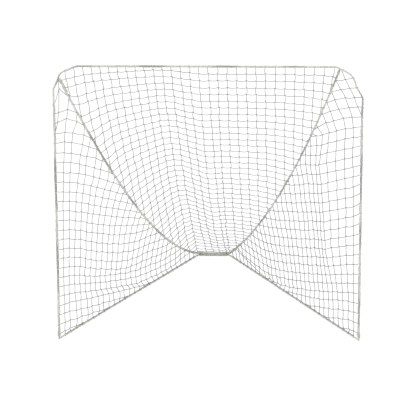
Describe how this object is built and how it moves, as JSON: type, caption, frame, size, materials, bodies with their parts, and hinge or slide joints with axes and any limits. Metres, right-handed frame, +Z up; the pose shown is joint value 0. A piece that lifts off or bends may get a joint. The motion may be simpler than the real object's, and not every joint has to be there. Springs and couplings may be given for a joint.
{
  "type": "hockey goal net",
  "caption": "Slack mesh goal net with a roped rectangular mouth, two triangular side panels and a back panel that falls to a short hem behind.",
  "frame": {"origin": "middle of the footprint, on the floor that the ground ropes lie on", "axes": "+Z up; the mouth faces -Y and the hem is at +Y; +X to the right when looking into the mouth"},
  "size_m": [1.2328, 0.9944, 1.1664],
  "materials": {
    "netting_twine": "braided knotless polyethylene twine, off-white",
    "rope": "twisted polyethylene rope, greyish white",
    "lacing_twine": "twisted twine, off-white",
    "hem_lashing": "tight lashing, grey and soiled"
  },
  "bodies": {
    "root": {"back_netting": "netting_twine", "left_netting": "netting_twine", "right_netting": "netting_twine", "crossbar_rope": "rope", "left_corner_rope": "rope", "right_corner_rope": "rope", "left_post_rope": "rope", "right_post_rope": "rope", "left_ground_rope": "rope", "right_ground_rope": "rope", "back_hem_rope": "rope", "left_seam_rope": "rope", "right_seam_rope": "rope", "crossbar_hitches": "lacing_twine", "left_corner_hitches": "lacing_twine", "right_corner_hitches": "lacing_twine", "left_post_hitches": "lacing_twine", "right_post_hitches": "lacing_twine", "left_ground_hitches": "lacing_twine", "right_ground_hitches": "lacing_twine", "left_seam_hitches": "lacing_twine", "right_seam_hitches": "lacing_twine", "back_hem_lashing": "hem_lashing", "left_foot_seizing": "lacing_twine", "right_foot_seizing": "lacing_twine", "left_top_seizing": "lacing_twine", "right_top_seizing": "lacing_twine", "left_back_seizing": "lacing_twine", "right_back_seizing": "lacing_twine"}
  },
  "joints": []
}
